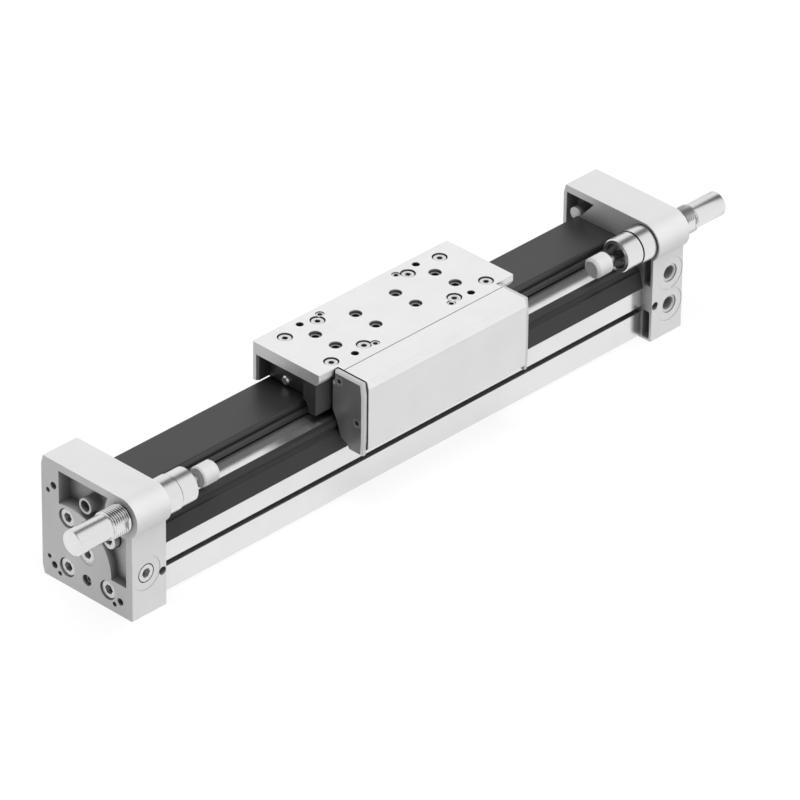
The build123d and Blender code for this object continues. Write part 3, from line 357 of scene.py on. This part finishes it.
def raise_surface(nodes, links, shader, height, distance):
    """Bump of that height, in metres, on the shader."""
    bump = nodes.new("ShaderNodeBump")
    bump.inputs["Strength"].default_value = 1.0
    bump.inputs["Distance"].default_value = distance
    links.new(height, bump.inputs["Height"])
    links.new(bump.outputs[0], shader.inputs["Normal"])


def painted_occlusion_shade(nodes, links, reach, closed, start=0.15, inside=False):
    """Painted shade: a share for the colour, 1 where the surface stands free within reach, down to closed in
    recesses and gaps, or, seen from the inside, along the piece's own outer edges."""
    open_air = nodes.new("ShaderNodeAmbientOcclusion")
    open_air.samples = OCCLUSION_SAMPLES
    open_air.only_local = inside
    open_air.inside = inside
    open_air.inputs["Distance"].default_value = reach
    return map_range(nodes, links, open_air.outputs["AO"], start, OPEN_ENOUGH, closed, 1.0, smooth=True)


def shaded(nodes, links, colour, share):
    """A colour multiplied by a share from 0 to 1."""
    scaled = nodes.new("ShaderNodeVectorMath")
    scaled.operation = "SCALE"
    links.new(colour, scaled.inputs[0])
    links.new(share, scaled.inputs["Scale"])
    return scaled.outputs[0]


def turn_marks(nodes, links, shader, strength):
    """Gloss that is drawn out across the marks of a lathe, which run round the piece's X axis."""
    round_axis = nodes.new("ShaderNodeTangent")
    round_axis.direction_type = "RADIAL"
    round_axis.axis = "X"
    links.new(round_axis.outputs[0], shader.inputs["Tangent"])
    shader.inputs["Anisotropic"].default_value = strength


def worked_metal(name, level, roughness, scale, metallic=1.0, depth=2e-6, spread=0.05, tone=0.04,
                 specular=0.5, recess_shade=None, edge_shade=None, turned=0.0):
    """Metal whose tool marks run as scale says, with colour and roughness that vary along them. Recess shade
    and edge shade each hold a reach and how dark the painted shade makes the recesses, or the outer edges."""
    material, nodes, links, shader, place = surface(name, metallic, specular)
    if turned:
        turn_marks(nodes, links, shader, turned)
    marks = grain(nodes, links, place, scale)
    clouds = grain(nodes, links, place, METAL_CLOUDS, CLOUD_DETAIL)
    colour = tint(nodes, links, clouds, grey(level * (1 - tone)), grey(min(1.0, level * (1 + tone))))
    # Painted shade: occlusion darkens the colour in recesses and gaps, and along the outer edges
    if recess_shade:
        colour = shaded(nodes, links, colour, painted_occlusion_shade(nodes, links, **recess_shade))
    if edge_shade:
        colour = shaded(nodes, links, colour, painted_occlusion_shade(nodes, links, **edge_shade, inside=True))
    links.new(colour, shader.inputs["Base Color"])
    links.new(to_range(nodes, links, marks, roughness - spread, roughness + spread),
              shader.inputs["Roughness"])
    raise_surface(nodes, links, shader, marks, depth)
    return material


def moulded(name, level, roughness, depth=4e-6):
    """Plastic or rubber with a fine moulded skin."""
    material, nodes, links, shader, place = surface(name, metallic=0.0)
    skin = grain(nodes, links, place, SKIN)
    clouds = grain(nodes, links, place, SKIN_CLOUDS, CLOUD_DETAIL)
    dark, light = (grey(level * tone) for tone in MOULD_TONES)
    links.new(tint(nodes, links, clouds, dark, light), shader.inputs["Base Color"])
    links.new(to_range(nodes, links, skin, roughness - MOULD_SPREAD, roughness + MOULD_SPREAD),
              shader.inputs["Roughness"])
    raise_surface(nodes, links, shader, skin, depth)
    return material


def end_plate_finish():
    """Black coat on the faces across the barrel, bare satin edges all round: the coat is where the
    surface's own normal points along X."""
    material, nodes, links, shader, place = surface("coated_end_plate", END_PLATE_METALLIC)
    facing = nodes.new("ShaderNodeTexCoord")
    along = nodes.new("ShaderNodeSeparateXYZ")
    links.new(facing.outputs["Normal"], along.inputs[0])
    size = maths(nodes, links, "ABSOLUTE", along.outputs["X"])
    coat = maths(nodes, links, "GREATER_THAN", size, COATED_FACING)
    links.new(tint(nodes, links, coat, grey(BARE_EDGE), grey(COAT)), shader.inputs["Base Color"])
    turn_marks(nodes, links, shader, END_PLATE_TURNED)
    skin = grain(nodes, links, place, FINE)
    links.new(to_range(nodes, links, skin, *END_PLATE_ROUGHNESS), shader.inputs["Roughness"])
    raise_surface(nodes, links, shader, skin, SATIN_DEPTH)
    return material


def finishes():
    """Every finish of the cylinder by its own name."""
    return {
        # The extrusion, plate, casting, chrome and screws get painted shade in recesses and gaps, some also
        # along their outer edges
        "extrusion": worked_metal("anodised_extrusion", level=0.78, roughness=0.16, scale=ALONG_X,
                                  metallic=0.85, depth=4e-7, spread=0.03,
                                  recess_shade=dict(reach=12.0 * MM, closed=0.42, start=0.25)),
        "plate": worked_metal("satin_plate", level=0.82, roughness=0.40, scale=ALONG_X, metallic=0.25,
                              depth=1.2e-6, recess_shade=dict(reach=5.0 * MM, closed=0.03, start=0.45),
                              edge_shade=dict(reach=0.3 * MM, closed=0.45)),
        "casting": worked_metal("blasted_casting", level=0.78, roughness=0.52, scale=FINE, metallic=0.25,
                                depth=4e-6, recess_shade=dict(reach=16.0 * MM, closed=0.36, start=0.35)),
        "rail": worked_metal("black_oxide_rail", level=0.034, roughness=0.50, scale=ALONG_X, metallic=0.0,
                             specular=0.25),
        "cover": worked_metal("black_anodised_cover", level=0.040, roughness=0.36, scale=ALONG_X,
                              metallic=0.3),
        "chrome": worked_metal("bright_chrome", level=0.76, roughness=0.22, scale=ROUND_X, depth=6e-7,
                               spread=0.02, tone=0.02, recess_shade=dict(reach=1.6 * MM, closed=0.10),
                               edge_shade=dict(reach=0.3 * MM, closed=0.6), turned=0.75),
        "screw": worked_metal("plated_screw", level=0.72, roughness=0.28, scale=FINE, metallic=0.7,
                              depth=1.5e-6, recess_shade=dict(reach=3.0 * MM, closed=0.05),
                              edge_shade=dict(reach=0.25 * MM, closed=0.5)),
        "turned": worked_metal("turned_steel", level=0.72, roughness=0.24, scale=ROUND_X, depth=1e-6),
        "band": worked_metal("rolled_band", level=0.55, roughness=0.30, scale=ALONG_X),
        "magnet": worked_metal("pressed_magnet", level=0.12, roughness=0.55, scale=FINE, metallic=0.6),
        "rubber": moulded("black_seal_rubber", level=0.022, roughness=0.62),
        "white_pad": moulded("white_buffer_plastic", level=0.70, roughness=0.48),
        "black_moulding": moulded("black_moulding", level=0.060, roughness=0.40),
        "end_plate": end_plate_finish(),
    }


NODE_FINISH = {
    "barrel_profile": "extrusion", "guide_rail": "rail", "top_cover": "cover", "inner_band": "band",
    "outer_band": "band", "band_clamp": "black_moulding", "end_cap": "casting", "cap_screws": "screw",
    "axial_plug": "screw", "cushion_screw": "screw", "bore_plug": "extrusion", "plug_seal": "rubber",
    "shock_body": "chrome", "lock_nut": "chrome", "stop_sleeve": "chrome", "buffer_rod": "turned",
    "buffer": "white_pad", "side_plug": "screw", "piston_seal": "rubber", "piston": "extrusion",
    "wear_ring": "white_pad", "magnet_ring": "magnet", "driver_yoke": "turned", "yoke_screws": "screw",
    "slide_plate": "plate", "plate_screws": "screw", "set_screws": "screw", "carriage_body": "extrusion",
    "side_cover": "plate", "end_plate_screws": "screw", "end_plate": "end_plate",
    "end_block": "black_moulding", "wiper": "rubber", "grease_nipple": "turned", "guide_balls": "turned",
    "ball_cages": "black_moulding",
}


def dress_nodes(made):
    """Each CAD node gets the finish of its kind, whichever end it is at."""
    for name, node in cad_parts.items():
        kind = name.removesuffix("_left").removesuffix("_right")
        node.data.materials.clear()
        node.data.materials.append(made[NODE_FINISH[kind]])


def grid_faces(rows, columns):
    """Quads of a grid whose last column joins its first."""
    row, column = np.meshgrid(np.arange(rows - 1), np.arange(columns), indexing="ij")
    beside = (column + 1) % columns
    quads = np.stack([row * columns + column, row * columns + beside, (row + 1) * columns + beside,
                      (row + 1) * columns + column], axis=-1)
    return quads.reshape(-1, 4)


def make_piece(name, points, quads, material, body):
    """One mesh from a closed grid of quads: its faces are turned outwards by the sign of its volume."""
    corners = points[quads]
    volume = np.einsum("ij,ij->i", corners[:, 0], np.cross(corners[:, 1], corners[:, 2])).sum()
    volume += np.einsum("ij,ij->i", corners[:, 0], np.cross(corners[:, 2], corners[:, 3])).sum()
    if volume < 0:
        quads = quads[:, ::-1]
    mesh = bpy.data.meshes.new(name)
    mesh.from_pydata(points.tolist(), [], quads.tolist())
    mesh.validate()
    piece = bpy.data.objects.new(name, mesh)
    bpy.context.scene.collection.objects.link(piece)
    mesh.materials.append(material)
    mesh.shade_smooth()
    mesh.set_sharp_from_angle(angle=SHARP_ANGLE)
    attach(piece, body)
    return piece


def thread_shape(turn):
    """Depth share of a thread at a part of its turn: 0 on the flat crest, 1 in the root, straight flanks."""
    return np.clip((0.5 - np.abs(turn % 1.0 - 0.5)) * FLANK_STEEPNESS - CREST_SHARE, 0.0, 1.0)


def threaded_shock(side, label, material):
    """The shock absorber's body: a profile turned round its axis, r(x), less thread depth times the
    thread's shape at x / pitch - angle / full turn, then cut flat where the wrench flats are."""
    low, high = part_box(f"shock_body_{label}")
    back, front = (low[0], high[0]) if side < 0 else (high[0], low[0])
    axis_y, axis_z = (low[1] + high[1]) / 2, (low[2] + high[2]) / 2
    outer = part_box(f"end_cap_{label}")[1 if side > 0 else 0][0]
    thread_end = outer + side * THREAD_OUT
    thread_start = outer - side * THREAD_INTO_CAP
    rings = int(round(abs(thread_end - thread_start) / THREAD_PITCH * RINGS_PER_PITCH))
    threaded_x = np.linspace(thread_end - side * SHOULDER_STEP, thread_start, rings)
    x = np.concatenate([
        [back, back, back - side * END_EDGE * EDGE_BOW_ALONG, back - side * END_EDGE,
         thread_end + side * SHOULDER_GAP],
        threaded_x,
        [front, front, front + side * GLAND_DEPTH, front + side * GLAND_DEPTH,
         back - side * SHOCK_BORE_WALL, back - side * SHOCK_BORE_WALL],
    ])
    r = np.concatenate([
        [AXIS_RADIUS, PLAIN_RADIUS - END_EDGE, PLAIN_RADIUS - END_EDGE * EDGE_BOW_IN, PLAIN_RADIUS,
         PLAIN_RADIUS],
        np.full(rings, THREAD_RADIUS),
        [THREAD_RADIUS, ROD_HOLE_RADIUS, ROD_HOLE_RADIUS, SHOCK_BORE_RADIUS, SHOCK_BORE_RADIUS, AXIS_RADIUS],
    ])
    angle = np.linspace(0.0, 2 * math.pi, SHOCK_SEGMENTS, endpoint=False)
    into_thread = np.minimum(np.abs(x - thread_end), np.abs(x - thread_start)) / THREAD_PITCH
    inside = (x - thread_end) * (x - thread_start) < 0
    share = np.where(inside, np.clip(into_thread * THREAD_FADE, 0.0, 1.0), 0.0)
    lead_in = np.clip(np.abs(x - thread_end) / THREAD_LEAD_IN, 0.0, 1.0)
    r = np.where(inside, PLAIN_RADIUS + (r - PLAIN_RADIUS) * lead_in, r)
    depth = THREAD_DEPTH * share[:, None] * thread_shape(x[:, None] / THREAD_PITCH - angle / (2 * math.pi))
    radius = np.maximum(r[:, None] - depth, AXIS_RADIUS)
    y = radius * np.cos(angle)
    z = radius * np.sin(angle)
    from_cap = (x - outer) * side
    flat = (from_cap > FLAT_INSET) & (from_cap < FLAT_INSET + FLAT_LENGTH)
    y = np.where(flat[:, None], np.clip(y, -FLAT_HALF_WIDTH, FLAT_HALF_WIDTH), y)
    points = np.stack([np.broadcast_to(x[:, None], y.shape), axis_y + y, axis_z + z], axis=-1)
    piece = make_piece(f"threaded_shock_{label}", points.reshape(-1, 3), grid_faces(len(x), SHOCK_SEGMENTS),
                       material, "frame")
    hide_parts(f"shock_body_{label}")
    return piece


def port_thread(label, height, material):
    """A thin closed sleeve in the port: its inside is the port's radius less the thread's depth times
    1 - the thread's shape at the depth along the port, turned with the angle."""
    axis_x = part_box("end_cap_right")[1][0] - PORT_INSET
    start = CAP_FRONT + PORT_THREAD_START + PORT_THREAD_FIT
    rings = int(round(PORT_THREAD_LENGTH / PORT_THREAD_PITCH * PORT_RINGS_PER_PITCH))
    inner_y = np.linspace(start, start + PORT_THREAD_LENGTH, rings)
    angle = np.linspace(0.0, 2 * math.pi, PORT_SEGMENTS, endpoint=False)
    crest = thread_shape(inner_y[:, None] / PORT_THREAD_PITCH - angle / (2 * math.pi))
    inside = PORT_RADIUS - PORT_THREAD_FIT - PORT_THREAD_DEPTH * (1.0 - crest)
    outside = np.full((1, len(angle)), PORT_RADIUS)
    radius = np.concatenate([outside, inside, outside, outside])
    y = np.concatenate([[start], inner_y, [start + PORT_THREAD_LENGTH], [start]])
    points = np.stack([axis_x + radius * np.cos(angle), np.broadcast_to(y[:, None], radius.shape),
                       height + radius * np.sin(angle)], axis=-1)
    return make_piece(f"port_thread_{label}", points.reshape(-1, 3), grid_faces(len(y), len(angle)),
                      material, "frame")


bpy.context.scene.view_settings.view_transform = "Standard"
place_camera()
studio_air()
soft_lamps()
pale_floor()
made = finishes()
dress_nodes(made)
for side, label in ((-1, "left"), (1, "right")):
    threaded_shock(side, label, made["chrome"])
for label, height in zip(("low", "high"), PORT_HEIGHTS):
    port_thread(label, height, made["casting"])
